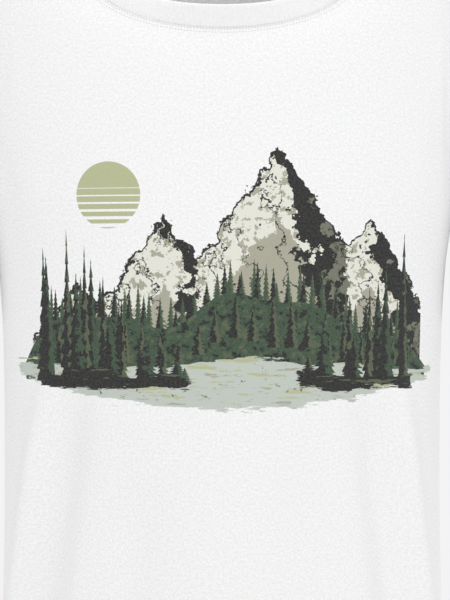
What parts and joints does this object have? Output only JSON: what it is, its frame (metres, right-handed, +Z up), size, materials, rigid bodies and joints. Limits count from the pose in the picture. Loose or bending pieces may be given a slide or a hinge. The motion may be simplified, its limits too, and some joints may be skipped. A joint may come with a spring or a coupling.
{
  "type": "t-shirt",
  "caption": "Short-sleeved crew-neck T-shirt in the shape it has when worn: two body panels, two sleeves, a ribbed collar and taped neck and shoulder seams.",
  "frame": {"origin": "midway between the two high shoulder points, where the collar's seam crosses the shoulder seams; the wearer's neck holds the shirt there", "axes": "+Z up, the front of the shirt faces -Y, and +X is towards the wearer's left sleeve"},
  "size_m": [0.5862, 0.2564, 0.7317],
  "materials": {
    "jersey": "white cotton single jersey, matte, with a printed design on the chest",
    "rib_knit": "white cotton rib knit, matte",
    "cotton_tape": "white woven cotton tape, matte"
  },
  "bodies": {
    "root": {"front_body": "jersey", "back_body": "jersey", "left_sleeve": "jersey", "right_sleeve": "jersey", "collar": "rib_knit", "neck_tape": "cotton_tape"}
  },
  "joints": []
}
